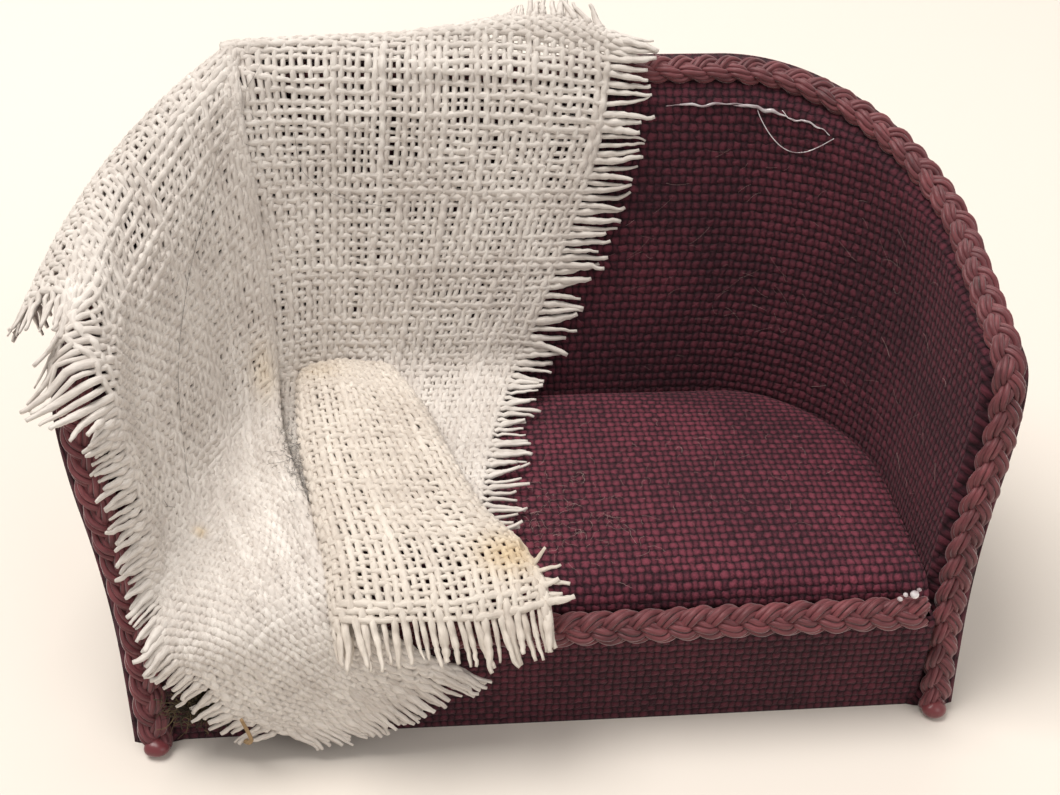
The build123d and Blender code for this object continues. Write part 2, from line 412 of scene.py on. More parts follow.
def inner_material(name, colour, scale):
    """Card, wood and wadding that the covers hide."""
    n = Nodes(name)
    where = n.make("ShaderNodeTexCoord", output=3)
    grain = n.noise(where, scale, 4.0)
    dark = tuple(c * 0.75 for c in colour[:3]) + (1,)
    n.set(Base_Color=n.mix(grain, dark, colour), Roughness=0.9)
    n.bump(grain, 0.0001, 0.5)
    return n.material


# ---- sizes and colours a user would change --------------------------------------------------------
class SetteeCloth(bpy.types.PropertyGroup):
    """The wine-red plain weave."""

    warp_pitch: bpy.props.FloatProperty(name="Warp pitch", description="Distance between warp yarns, mm",
                                        default=0.47, min=0.1)
    weft_pitch: bpy.props.FloatProperty(name="Weft pitch", description="Distance between weft yarns, mm",
                                        default=0.6, min=0.1)
    shade: bpy.props.FloatVectorProperty(name="Dark", description="Cloth colour low on the yarns",
                                         subtype="COLOR", size=4, default=(0.026, 0.0065, 0.0115, 1))
    lit: bpy.props.FloatVectorProperty(name="Light", description="Cloth colour high on the yarns",
                                       subtype="COLOR", size=4, default=(0.125, 0.026, 0.040, 1))
    crown: bpy.props.FloatProperty(name="Crown", description="How far the seat's middle rises, mm",
                                   default=0.7, min=0)


class SetteeBraid(bpy.types.PropertyGroup):
    """The three-strand plait of stranded cotton."""

    repeat: bpy.props.FloatProperty(name="Repeat", description="Distance between crossings, mm",
                                    default=1.6, min=0.5)
    swing: bpy.props.FloatProperty(name="Swing", description="How far each strand goes to the side, mm",
                                   default=0.56, min=0.1)
    rise: bpy.props.FloatProperty(name="Rise", description="How far each strand goes up and down, mm",
                                  default=0.24, min=0.05)
    strand: bpy.props.FloatProperty(name="Strand", description="Radius of a strand's ring of plies, mm",
                                    default=0.25, min=0.05)
    ply: bpy.props.FloatProperty(name="Ply", description="Radius of one ply, mm", default=0.20, min=0.02)
    dark: bpy.props.FloatVectorProperty(name="Dark", description="Thread colour in its hollows",
                                        subtype="COLOR", size=4, default=(0.060, 0.014, 0.018, 1))
    light: bpy.props.FloatVectorProperty(name="Light", description="Thread colour on top",
                                         subtype="COLOR", size=4, default=(0.235, 0.062, 0.070, 1))


class SetteeThrow(bpy.types.PropertyGroup):
    """The loose gauze."""

    warp_pitch: bpy.props.FloatProperty(name="Warp pitch", description="Distance between warp yarns, mm",
                                        default=0.435, min=0.1)
    weft_pitch: bpy.props.FloatProperty(name="Weft pitch", description="Distance between weft yarns, mm",
                                        default=0.54, min=0.1)
    yarn: bpy.props.FloatProperty(name="Yarn", description="Half the width of a yarn, mm", default=0.228,
                                  min=0.02)
    fringe: bpy.props.FloatProperty(name="Fringe", description="Length of the frayed ends, mm", default=2.4,
                                    min=0)
    dark: bpy.props.FloatVectorProperty(name="Dark", description="Yarn colour in its hollows",
                                        subtype="COLOR", size=4, default=(0.46, 0.41, 0.37, 1))
    light: bpy.props.FloatVectorProperty(name="Light", description="Yarn colour on top",
                                         subtype="COLOR", size=4, default=(0.80, 0.76, 0.71, 1))


class SetteeStage(bpy.types.PropertyGroup):
    """Floor, lamps and camera."""

    backdrop: bpy.props.FloatVectorProperty(name="Backdrop", description="Colour of floor and backdrop",
                                            subtype="COLOR", size=4, default=(0.74, 0.69, 0.63, 1))
    lens: bpy.props.FloatProperty(name="Lens", description="Focal length, mm", default=46.12, min=1)


# ---- the settee's own covers -----------------------------------------------------------------------
def wall_skin():
    """The wall's visible skin as a grid: up the inside, over the edge and down the outside."""
    columns, rise, roll = 420, 64, 9
    arm_end, arm_end_columns = 6.5, 70
    s = np.concatenate([np.linspace(0, arm_end, arm_end_columns),
                        np.linspace(arm_end, ROUND - arm_end, columns - 2 * arm_end_columns)[1:-1],
                        np.linspace(ROUND - arm_end, ROUND, arm_end_columns)])
    top_in, top_out = wall_top(s, 1.0), wall_top(s, 0.0)
    up = np.linspace(0, 1, rise)[:, None]
    inside = wall_point(s[None], up * top_in[None], 1.0)
    outside = wall_point(s[None], (1 - up) * top_out[None], 0.0)
    edge_in, edge_out = inside[-1], outside[0]
    t = np.linspace(0, 1, roll + 2)[1:-1, None, None]
    along = unit(np.gradient(edge_in, axis=0))
    across = edge_out - edge_in
    normal = unit(np.cross(across, along))
    normal *= np.sign(normal[:, 2:3] - normal[:, 1:2])
    edge = edge_in[None] * (1 - t) + edge_out[None] * t + normal[None] * (0.35 * np.sin(math.pi * t))
    return s, inside, edge, outside


def soft_noise(points, seed, scale, size):
    """Slow unevenness of padded cloth, as an offset per point."""
    p = np.asarray(points) / scale
    k = np.random.default_rng(seed).normal(0, 1, (5, 3))
    phase = np.random.default_rng(seed + 1).uniform(0, 6.28, 5)
    return size * np.mean([np.sin(p @ k[i] + phase[i]) for i in range(5)], axis=0)


def sweep_uv(across, along):
    """Cloth coordinates of a grid's points, in millimetres."""
    return np.stack([across, along], -1).reshape(-1, 2)


class SETTEE_OT_wall_covers(bpy.types.Operator):
    """Make the cover over the inside of the wall and the one round its outside."""

    bl_idname = "settee.wall_covers"
    bl_label = "Wall Covers"

    def execute(self, context):
        cloth = upholstery_material("wine_plain_weave", tuple(context.scene.settee_cloth.shade),
                                    tuple(context.scene.settee_cloth.lit),
                                    context.scene.settee_cloth.warp_pitch,
                                    context.scene.settee_cloth.weft_pitch)
        s, inside, edge, outside = wall_skin()
        half = len(edge) // 2 + 1
        inner = np.concatenate([inside, edge[:half]])
        outer = np.concatenate([edge[half - 1:], outside])
        covers = (("inner_cloth", inner, "inner_cover"), ("outer_cloth", outer, "outer_cover"))
        for name, grid, node in covers:
            across = np.broadcast_to(s[None], grid.shape[:2])
            uv = sweep_uv(across, lengths(grid, 0))
            faces = grid_faces(*grid.shape[:2])
            piece = add_mesh(name, grid.reshape(-1, 3), faces, cloth, uv=uv)
            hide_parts(node)
        return {"FINISHED"}


def cushion_grid(crown):
    """The seat cushion as rings of a closed profile, swept across the seat."""
    front, back = FRONT + 1.25, float(wall_point(ROUND / 2, SEAT_TOP, 1.0)[1]) - 0.05
    radius, low = 1.7, SEAT_FOOT + 0.1
    angle = np.linspace(math.pi, math.pi / 2, 12)
    roll_y, roll_z = front + radius + radius * np.cos(angle), SEAT_TOP - radius + radius * np.sin(angle)
    top_y = np.linspace(front + radius, back, 46)[1:]
    y = np.concatenate([[front + 0.5, front + 0.1], roll_y, top_y, [back, back, front + 0.5]])
    z = np.concatenate([[low, low + 0.6], roll_z, np.full(45, SEAT_TOP), [SEAT_TOP - 1.5, low, low]])
    t = np.linspace(-1, 1, 110)
    t = np.sign(t) * (1 - (1 - np.abs(t)) ** 1.25)
    depth = np.clip((y - front) / (back - front), 0, 1)
    side = float(smooth_steps(SEAT_TOP, HALF_WIDTHS) - smooth_steps(SEAT_TOP, ARM_THICKNESS)) - 0.12
    corner = CORNER_RADIUS - ARM_THICKNESS[1] - 0.3
    into = np.clip(y - (back - corner), 0, corner)
    half = side - corner + np.sqrt(np.maximum(corner ** 2 - into ** 2, 0))
    half = np.maximum(half, side - corner + 0.4)
    x = t[None] * half[:, None]
    near = np.clip((1 - np.abs(t[None])) * half[:, None] / 2.0, 0, 1)
    shoulder = 1.0 * (1 - np.sqrt(1 - (1 - near) ** 2))
    dome = crown * (1 - (np.abs(t[None]) ** 3)) * np.sin(math.pi * depth ** 0.75)[:, None]
    rear = 0.9 * np.clip(1 - (back - y) / 1.8, 0, 1)[:, None] ** 2
    up = (z > SEAT_FOOT + 1.0)[:, None]
    height = z[:, None] + np.where(up, dome - shoulder - rear, 0)
    return np.stack([x, np.broadcast_to(y[:, None], x.shape), height], -1)


# Painted light: how much lighter the seat's copy of the cloth is painted than the wall's, as the seat faces
# the light from above, low and high on its yarns.
SEAT_PAINTED_LIGHT_LOW, SEAT_PAINTED_LIGHT_HIGH = 1.3, 1.75


class SETTEE_OT_cushion(bpy.types.Operator):
    """Make the crowned seat cushion with its rolled front edge."""

    bl_idname = "settee.cushion"
    bl_label = "Seat Cushion"

    def execute(self, context):
        settings = context.scene.settee_cloth
        # Painted light: the seat uses a lighter-painted copy of the wall's cloth.
        cloth = upholstery_material("wine_seat_weave_painted_lighter", tuple(c * SEAT_PAINTED_LIGHT_LOW for c in settings.shade),
                                    tuple(min(c * SEAT_PAINTED_LIGHT_HIGH, 1) for c in settings.lit),
                                    settings.warp_pitch, settings.weft_pitch)
        grid = cushion_grid(settings.crown)
        grid[..., 2] += soft_noise(grid, 5, 4.0, 0.12) * (grid[..., 2] > SEAT_TOP - 1)
        rows, columns = grid.shape[:2]
        faces = grid_faces(rows, columns)
        faces += [[i * columns for i in range(rows)][::-1], [i * columns + columns - 1 for i in range(rows)]]
        uv = sweep_uv(grid[..., 0] + 40, lengths(grid, 0))
        piece = add_mesh("seat_cushion", grid.reshape(-1, 3), faces, cloth, uv=uv)
        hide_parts("cushion_cover")
        return {"FINISHED"}


class SETTEE_OT_apron(bpy.types.Operator):
    """Make the flat cloth apron below the seat."""

    bl_idname = "settee.apron"
    bl_label = "Apron"

    def execute(self, context):
        settings = context.scene.settee_cloth
        cloth = upholstery_material("wine_apron_weave", tuple(settings.shade), tuple(settings.lit),
                                    settings.warp_pitch, settings.weft_pitch * 0.9)
        half = float(smooth_steps(4.0, HALF_WIDTHS) - smooth_steps(4.0, ARM_THICKNESS)) + 0.35
        x = np.linspace(-half, half, 140)
        z = np.concatenate([np.linspace(0, APRON_TOP - 0.3, 30), [APRON_TOP - 0.05, APRON_TOP, APRON_TOP]])
        y = np.concatenate([np.full(30, FRONT), [FRONT + 0.08, FRONT + 0.3, FRONT + 1.2]])
        grid = np.stack(np.broadcast_arrays(x[None], y[:, None], z[:, None]), -1).copy()
        grid[..., 1] += soft_noise(grid, 9, 3.5, 0.08)
        uv = sweep_uv(grid[..., 0] + 40, lengths(grid, 0))
        piece = add_mesh("apron_cloth", grid.reshape(-1, 3), grid_faces(*grid.shape[:2]), cloth, uv=uv)
        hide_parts("apron_cover")
        return {"FINISHED"}


# ---- braids ------------------------------------------------------------------------------------------
def even(points, step):
    """Points at even steps along a line of points."""
    run = lengths(points, 0)
    count = max(int(run[-1] / step), 4)
    at = np.linspace(0, run[-1], count)
    return np.stack([np.interp(at, run, points[:, k]) for k in range(3)], -1)


def smooth_line(points, passes):
    """Evens a line of points out in place, as often as passes says."""
    for _ in range(passes):
        points[1:-1] = (points[:-2] + 2 * points[1:-1] + points[2:]) / 4
    return points


def plait(path, side, up, settings, seed):
    """Three strands of twisted plies crossed over each other along a path."""
    rng = np.random.default_rng(seed)
    bundle = Bundle()
    run = lengths(path, 0)
    wobble = wander(rng, len(path), 40, 0.10)
    phase = 2 * math.pi * run / (3 * settings.repeat) + np.cumsum(wander(rng, len(path), 60, 0.004))
    plies, sides = 5, 6
    for k in range(3):
        turn = phase + 2 * math.pi * k / 3
        over = settings.swing * np.sin(turn) + wobble * 0.4
        lift = settings.rise * np.sin(2 * turn)
        middle = path + side * over[:, None] + up * lift[:, None]
        along = unit(np.gradient(middle, axis=0))
        right = unit(np.cross(along, up))
        high = np.cross(right, along)
        lay = 2 * math.pi * run / 5.5 + wander(rng, len(path), 50, 0.5)
        for p in range(plies):
            angle = lay + 2 * math.pi * p / plies
            ring = settings.strand * (1 + wander(rng, len(path), 25, 0.07))
            wide = (np.cos(angle) * ring * 1.25)[:, None]
            tall = (np.sin(angle) * ring * 0.85)[:, None]
            line = middle + right * wide + high * tall
            radius = settings.ply * (1 + wander(rng, len(path), 20, 0.06))
            points, faces = tube(line, radius, sides, normal=up)
            tone = 0.5 + rng.normal(0, 0.14) + np.repeat(wander(rng, len(path), 30, 0.1), sides)
            uv = np.stack([np.tile(np.arange(sides) / sides, len(path)), np.repeat(run, sides)], -1)
            bundle.add(points, faces, tone, uv)
    return bundle


def edge_path(step):
    """The middle line of the wall's edge, with its sideways and upward directions."""
    s = np.concatenate([np.linspace(0.0, 1.5, 500), np.linspace(1.5, 8.0, 500)[1:],
                        np.linspace(8.0, ROUND - 8.0, 900)[1:-1],
                        np.linspace(ROUND - 8.0, ROUND - 1.5, 500), np.linspace(ROUND - 1.5, ROUND, 500)[1:]])
    middle = wall_point(s, wall_top(s), 0.5)
    inner, outer = wall_point(s, wall_top(s, 1.0), 1.0), wall_point(s, wall_top(s, 0.0), 0.0)
    path = even(middle, step)
    run, at = lengths(middle, 0), lengths(path, 0)
    across = outer - inner
    side = np.stack([np.interp(at, run, across[:, k]) for k in range(3)], -1)
    path = smooth_line(path, 30)
    along = unit(np.gradient(path, axis=0))
    side -= along * (side * along).sum(1, keepdims=True)
    side = unit(smooth_line(unit(side), 30))
    up = np.cross(side, along)
    up *= np.sign(up[:, 2:3] - 0.6 * up[:, 1:2])
    return path, side, up


def seat_braid_line(count):
    """The middle line of the braid over the apron."""
    x = np.linspace(-SEAT_BRAID_HALF, SEAT_BRAID_HALF, count)
    return np.stack([x, np.full_like(x, FRONT + 0.05), np.full_like(x, APRON_TOP + 0.75)], -1)


class SETTEE_OT_braids(bpy.types.Operator):
    """Plait the braid along the wall's edge and the one over the apron."""

    bl_idname = "settee.braids"
    bl_label = "Braids"

    def execute(self, context):
        settings = context.scene.settee_braid
        thread = thread_material("stranded_cotton", tuple(settings.dark), tuple(settings.light), 0.5, 9.0,
                                 sheen=0.35)
        path, side, up = edge_path(0.17)
        path = path + up * BRAID_LIFT
        path[:, 2] = np.maximum(path[:, 2], 0.55)
        piece = plait(path, side, up, settings, 11).piece("edge_plait", thread)
        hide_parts("edge_braid")
        line = seat_braid_line(330)
        line[:, 2] += wander(np.random.default_rng(4), len(line), 60, 0.07)
        facing = np.tile([0, -0.80, 0.60], (len(line), 1))
        upward = np.tile([0, 0.60, 0.80], (len(line), 1))
        piece = plait(line, upward, facing, settings, 21).piece("seat_plait", thread)
        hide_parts("seat_braid")
        return {"FINISHED"}


# ---- glue and debris ---------------------------------------------------------------------------------
# Runs of glue under the top braid: from and to, measured from the back's middle, and radius.
GLUE_RUNS = ((8.0, 13.0, 0.09), (12.0, 15.6, 0.15), (15.2, 18.5, 0.08))
# The thin string of glue that hangs there: its start, its length and how far it dips.
STRING_START, STRING_LENGTH, STRING_DIP = 13.6, 5.2, 1.9
# Drops at the seat's corner: offset from the middle of the glue there, and radius.
CORNER_DROPS = (((0, 0, 0), 0.28), ((-0.5, 0.1, -0.1), 0.16), ((0.35, 0.25, 0.12), 0.15),
                ((-0.9, -0.1, -0.25), 0.16))


def drop(bundle, centre, size, seed):
    """A lumpy drop: a ball of rings with its radius changed a little."""
    rings, sides = 14, 20
    r = np.random.default_rng(seed)
    k, phase = r.normal(0, 2.2, (4, 3)), r.uniform(0, 6, 4)
    a, b = np.meshgrid(np.linspace(0.05, math.pi - 0.05, rings), np.linspace(0, 2 * math.pi, sides, False),
                       indexing="ij")
    d = np.stack([np.sin(a) * np.cos(b), np.sin(a) * np.sin(b), np.cos(a)], -1)
    bump = 1 + 0.16 * np.mean([np.sin(d @ k[i] + phase[i]) for i in range(4)], axis=0)
    p = np.asarray(centre) + d * np.asarray(size) * bump[..., None]
    bundle.add(p.reshape(-1, 3), closed_faces(rings, sides))


class SETTEE_OT_glue(bpy.types.Operator):
    """Make the glue under the top braid, at the seat's corner and at the braid's ends."""

    bl_idname = "settee.glue"
    bl_label = "Glue"

    def execute(self, context):
        glue = glue_material()
        rng = np.random.default_rng(31)
        bead = Bundle()
        back_middle = ROUND / 2
        for start, end, size in GLUE_RUNS:
            s = np.linspace(back_middle + start, back_middle + end, 50)
            z = wall_top(s, 1.0) - 0.35 + wander(rng, 50, 9, 0.10)
            line = wall_point(s, z, 1.0) + [0, -0.08, 0]
            radius = size * np.sin(np.linspace(0.12, math.pi - 0.12, 50)) * (1 + wander(rng, 50, 6, 0.25))
            bead.add(*tube(line, np.maximum(radius, 0.03), 8))
        t = np.linspace(0, 1, 60)
        s = back_middle + STRING_START + STRING_LENGTH * t
        dip = STRING_DIP * np.sin(math.pi * t ** 0.8)
        line = wall_point(s, wall_top(s, 1.0) - 0.5 - dip, 1.0)
        line = line + np.stack([0 * t, -0.12 - 0.3 * dip, 0 * t], -1)
        bead.add(*tube(line, 0.035, 6))
        piece = bead.piece("edge_glue", glue)
        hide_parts("edge_glue_bead")

        corner = Bundle()
        low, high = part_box("seat_corner_glue")
        centre = (low + high) / 2 / MM
        for i, (offset, size) in enumerate(CORNER_DROPS):
            drop(corner, np.array(centre) + offset, (size, size, size * 0.8), 40 + i)
        piece = corner.piece("seat_corner_drop", glue)
        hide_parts("seat_corner_glue")

        ends = Bundle()
        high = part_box("braid_end_glue")[1]
        for i, side in enumerate((-1, 1)):
            x = side * (abs(high.x) / MM - 0.45)
            drop(ends, (x, FRONT - 0.9, 0.55), (0.78, 0.72, 0.52), 50 + i)
        piece = ends.piece("braid_end_drops", thread_material(
            "glued_thread", (0.10, 0.02, 0.025, 1), (0.26, 0.07, 0.075, 1), 0.28, 6.0))
        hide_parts("braid_end_glue")
        return {"FINISHED"}


MOSS_FIBRES = 620


class SETTEE_OT_debris(bpy.types.Operator):
    """Make the dried moss caught at the foot of the apron, and its stalk."""

    bl_idname = "settee.debris"
    bl_label = "Moss"

    def execute(self, context):
        rng = np.random.default_rng(61)
        moss = debris_material("dry_moss", (0.012, 0.009, 0.006, 1), (0.17, 0.12, 0.05, 1))
        low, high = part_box("moss_tuft")
        low, high = np.array(low) / MM, np.array(high) / MM
        centre, half = (low + high) / 2 + [-0.5, 0.1, 2.2], (high - low) / 2 * [1.2, 0.8, 1.25]
        low, high = centre - half * 1.2, centre + half * 1.2
        tuft = Bundle()
        for _ in range(MOSS_FIBRES):
            start = centre + half * rng.normal(0, 0.42, 3)
            heading = rng.normal(0, 1, 3) * [1.0, 0.5, 0.6]
            heading /= np.linalg.norm(heading)
            bend = rng.normal(0, 0.5, 3)
            length = rng.uniform(0.4, 1.7)
            t = np.linspace(0, 1, 7)[:, None]
            line = start + heading * t * length + bend * (t ** 2) * length * 0.6
            line = np.clip(line, low - [0.5, 0.25, 0.3], high + [0.7, 0.0, 0.7])
            line[:, 2] = np.maximum(line[:, 2], 0.08)
            radius = rng.uniform(0.022, 0.06) * np.linspace(1, 0.35, 7)
            tuft.add(*tube(line, radius, 4), tone=float(np.clip(rng.beta(1.2, 2.4), 0, 1)))
        piece = tuft.piece("moss", moss)
        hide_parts("moss_tuft")
        low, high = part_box("moss_stalk")
        a, b = np.array(low) / MM, np.array(high) / MM
        points = np.array([[a[0], b[1], a[2]], [b[0] - 0.1, (a[1] + b[1]) / 2 - 0.4, a[2] + 1.0],
                           [b[0] + 0.25, a[1] - 0.2, (a[2] + b[2]) / 2 + 0.4],
                           [b[0] - 0.25, a[1], b[2] + 0.4]])
        t = np.linspace(0, 3, 30)
        line = np.stack([np.interp(t, range(4), points[:, k]) for k in range(3)], -1)
        line = smooth_line(line, 12)
        stalk = Bundle()
        stalk.add(*tube(line, np.linspace(0.17, 0.10, 30), 8), tone=0.7)
        straw = debris_material("dry_stalk", (0.16, 0.09, 0.04, 1), (0.42, 0.29, 0.15, 1))
        piece = stalk.piece("stalk", straw)
        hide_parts("moss_stalk")
        return {"FINISHED"}


# ---- the throw ---------------------------------------------------------------------------------------
# Each panel is a net of points over the settee, in millimetres, in rows from the back to the front.
LEFT_PANEL = (
    ((-31.2, 0.2, 22.0), (-30.3, 6.5, 22.3), (-27.5, 13.0, 23.3), (-22.5, 18.0, 24.6), (-19.5, 19.6, 25.2)),
    ((-30.6, -1.0, 24.0), (-29.5, 5.7, 25.6), (-26.9, 11.9, 27.8), (-22.4, 16.8, 30.6), (-19.3, 18.8, 32.0)),
    ((-28.0, -2.8, 25.3), (-27.6, 4.4, 27.3), (-25.2, 10.4, 29.6), (-21.4, 15.0, 32.0), (-18.9, 17.2, 33.2)),
    ((-27.6, -5.7, 22.9), (-25.2, 1.0, 24.2), (-23.0, 7.3, 26.2), (-20.7, 11.9, 28.4), (-19.1, 14.2, 29.6)),
    ((-26.7, -7.7, 21.0), (-24.2, -0.8, 20.4), (-22.2, 5.4, 21.3), (-20.0, 9.8, 22.8), (-18.3, 11.9, 24.0)),
    ((-25.7, -9.0, 18.0), (-23.5, -2.8, 16.6), (-21.5, 3.4, 16.4), (-19.6, 7.7, 16.8), (-17.9, 9.7, 17.5)),
    ((-24.9, -10.0, 14.3), (-22.8, -4.8, 13.2), (-20.9, 0.8, 12.7), (-19.2, 5.0, 12.5), (-17.6, 7.2, 12.7)),
    ((-24.1, -11.2, 11.4), (-21.9, -7.6, 11.3), (-20.2, -3.2, 11.3), (-18.5, 0.2, 11.5), (-17.0, 1.8, 12.0)),
    ((-22.9, -14.4, 9.6), (-20.3, -11.7, 11.0), (-18.2, -8.5, 11.3),
     (-16.3, -6.1, 11.5), (-15.0, -5.1, 11.9)),
    ((-21.5, -15.2, 7.4), (-18.6, -15.0, 9.8), (-16.5, -13.5, 11.0),
     (-14.4, -12.7, 11.2), (-12.9, -12.3, 11.3)),
    ((-19.4, -15.3, 3.8), (-16.5, -15.3, 5.8), (-14.0, -15.2, 7.6), (-11.6, -15.1, 8.4), (-9.0, -14.9, 9.0)),
    ((-16.2, -15.4, 1.9), (-13.4, -15.4, 2.9), (-10.8, -15.4, 3.9), (-8.2, -15.4, 5.3), (-5.6, -15.2, 6.7)),
)
RIGHT_PANEL = (
    ((-20.5, 19.4, 25.0), (-14.5, 19.9, 27.2), (-8.5, 19.9, 30.0),
     (-3.2, 19.2, 33.2), (1.6, 18.3, 34.3), (6.2, 17.2, 33.4)),
    ((-20.2, 17.4, 32.7), (-14.5, 18.0, 33.0), (-8.8, 18.0, 33.2),
     (-3.6, 17.7, 33.7), (1.6, 17.2, 33.7), (6.9, 16.5, 32.8)),
    ((-20.0, 14.2, 28.4), (-14.6, 14.6, 28.2), (-9.2, 14.6, 28.0),
     (-4.0, 14.6, 27.8), (1.2, 14.6, 27.6), (6.4, 14.5, 27.4)),
    ((-19.8, 12.2, 22.6), (-14.8, 12.8, 22.6), (-9.8, 12.8, 22.5),
     (-4.8, 12.8, 22.4), (0.0, 12.8, 22.3), (4.5, 12.8, 22.2)),
    ((-19.6, 10.2, 17.4), (-15.0, 11.2, 17.4), (-10.4, 11.2, 17.3),
     (-5.9, 11.2, 17.3), (-1.5, 11.2, 17.2), (2.5, 11.2, 17.2)),
    ((-19.4, 7.6, 12.6), (-15.4, 9.2, 12.5), (-11.3, 9.3, 12.4),
     (-7.3, 9.3, 12.3), (-3.5, 9.3, 12.2), (0.0, 9.1, 12.0)),
    ((-19.2, 4.0, 11.1), (-15.6, 4.8, 11.0), (-11.9, 4.8, 11.0),
     (-8.2, 4.8, 11.0), (-4.8, 4.8, 11.0), (-1.6, 4.8, 11.0)),
    ((-19.0, -1.5, 11.0), (-15.6, -1.0, 11.0), (-12.3, -1.0, 11.0),
     (-8.9, -1.0, 11.0), (-5.8, -1.0, 11.0), (-2.9, -1.0, 11.0)),
    ((-18.0, -8.0, 11.0), (-15.0, -8.0, 11.0), (-12.1, -8.0, 11.0),
     (-9.2, -8.0, 11.0), (-6.4, -8.0, 11.0), (-3.7, -8.2, 11.0)),
)
FLAP = (
    ((-16.3, 8.4, 11.9), (-14.2, 9.3, 12.7), (-12.0, 9.2, 12.6), (-9.4, 8.3, 11.8)),
    ((-16.1, 4.6, 12.3), (-13.2, 4.9, 13.1), (-10.4, 4.6, 12.8), (-7.4, 3.8, 11.9)),
    ((-15.5, -0.5, 12.1), (-12.2, -0.5, 12.6), (-9.0, -0.8, 12.7), (-5.8, -1.3, 11.9)),
    ((-14.5, -6.0, 11.9), (-10.9, -6.0, 12.2), (-7.4, -6.1, 12.0), (-3.9, -6.3, 11.7)),
    ((-13.7, -10.5, 11.8), (-9.6, -10.4, 11.9), (-5.6, -10.2, 11.8), (-1.9, -9.6, 11.6)),
    ((-13.2, -13.8, 11.2), (-9.0, -14.0, 11.3), (-4.9, -13.9, 11.2), (-1.2, -13.2, 11.3)),
    ((-12.9, -15.5, 10.0), (-8.6, -15.5, 9.8), (-4.5, -15.5, 9.4), (-1.0, -15.0, 9.9)),
)
FLAP_HELD = 0.74           # the share of the flap's right side, from the back, that isn't frayed
# Long loose hairs on the throw, as points near its surface.
HAIRS = (
    ((-17.6, 16.6, 31.0), (-20.3, 12.5, 28.0), (-22.0, 8.6, 24.0), (-23.4, 4.6, 20.4), (-22.9, 0.6, 17.6),
     (-22.4, -1.4, 15.6)),
    ((-15.7, 14.6, 27.5), (-15.4, 14.0, 25.2), (-12.8, 13.4, 23.3), (-9.6, 13.2, 22.6)),
    ((-23.6, -1.0, 15.4), (-22.8, -2.2, 14.2), (-22.0, -4.4, 12.6)),
    ((-23.8, -6.2, 13.2), (-23.2, -6.4, 13.0), (-22.6, -6.2, 12.8)),
)
# The fold whose edge is fuzzy, from and to.
FUZZY_FOLD = ((-16.9, 1.6, 12.0), (-15.2, -4.8, 11.9))
# Stains: centre, reach and strength.
STAINS = (
    ((-2.6, -10.4, 11.6), (1.9, 1.6, 1.5), 0.85),
    ((-21.4, -7.0, 11.3), (0.35, 0.35, 0.6), 1.0),
    ((-18.3, 6.2, 14.0), (0.8, 1.6, 2.0), 0.5),
    ((-14.6, 7.6, 12.4), (1.6, 1.2, 1.2), 0.3),
)


def spline(points, count, axis):
    """Points along one axis of a net, on a smooth curve through the net's points."""
    points = np.moveaxis(np.asarray(points, float), axis, 0)
    n = len(points)
    chord = np.linalg.norm(np.diff(points, axis=0), axis=-1)
    chord = chord.reshape(n - 1, -1).mean(1)
    knots = np.concatenate([[0], np.cumsum(chord)])
    slope = np.gradient(points, knots, axis=0)
    at = np.linspace(0, knots[-1], count)
    i = np.clip(np.searchsorted(knots, at, side="right") - 1, 0, n - 2)
    h = (knots[i + 1] - knots[i])
    t = (at - knots[i]) / h
    shape = (count,) + (1,) * (points.ndim - 1)
    t, h = t.reshape(shape), h.reshape(shape)
    a, b, ma, mb = points[i], points[i + 1], slope[i] * h, slope[i + 1] * h
    out = ((2 * t ** 3 - 3 * t ** 2 + 1) * a + (t ** 3 - 2 * t ** 2 + t) * ma
           + (-2 * t ** 3 + 3 * t ** 2) * b + (t ** 3 - t ** 2) * mb)
    return np.moveaxis(out, 0, axis)


def settee_tree():
    """What the throw lies on: one search tree of the covers and one of the braids' middle lines."""
    points, faces, count = [], [], 0

    def join(grid):
        nonlocal count
        rows, columns = grid.shape[:2]
        points.append(grid.reshape(-1, 3))
        for a, b, c, d in grid_faces(rows, columns, count):
            faces.extend(((a, b, c), (a, c, d)))
        count += rows * columns

    _, inside, edge, outside = wall_skin()
    skin = np.concatenate([inside[::3], edge[::3], outside[::3]])[:, ::3]
    join(skin)
    join(cushion_grid(bpy.context.scene.settee_cloth.crown)[:, ::2])
    x = np.linspace(-SEAT_BRAID_HALF, SEAT_BRAID_HALF, 40)
    z = np.linspace(0, APRON_TOP, 12)
    join(np.stack(np.broadcast_arrays(x[None], np.array([[FRONT]]), z[:, None]), -1))
    path, _, up = edge_path(0.3)
    lines = np.concatenate([path + up * BRAID_LIFT, seat_braid_line(160)])
    braids = kdtree.KDTree(len(lines))
    for i, p in enumerate(lines):
        braids.insert(p, i)
    braids.balance()
    return BVHTree.FromPolygons([tuple(p) for p in np.concatenate(points)], faces), braids


def lay_on(panel, tree, braids, gap, passes):
    """Moves a panel's points clear of the settee, then evens it out, a few times."""
    shape, reach = panel.shape, 3.0
    for turn in range(passes):
        flat = panel.reshape(-1, 3)
        for i, p in enumerate(flat):
            here, normal, _, distance = tree.find_nearest(Vector(p))
            if here is None or distance > reach:
                continue
            outward = Vector(p) - here
            inside = within_settee(p)
            if inside:
                outward = -outward
            if outward.length < 1e-6:
                outward = normal
            outward.normalize()
            if inside or distance < gap:
                flat[i] = np.array(here + outward * gap)
            centre, _, distance = braids.find(flat[i])
            if distance < BRAID_RADIUS + gap:
                away = Vector(flat[i]) - centre
                flat[i] = np.array(centre + away.normalized() * (BRAID_RADIUS + gap))
        panel = flat.reshape(shape)
        if turn < passes - 1:
            even_out = panel.copy()
            even_out[1:-1] = (panel[:-2] + 2 * panel[1:-1] + panel[2:]) / 4
            panel = even_out.copy()
            panel[:, 1:-1] = (even_out[:, :-2] + 2 * even_out[:, 1:-1] + even_out[:, 2:]) / 4
    return panel


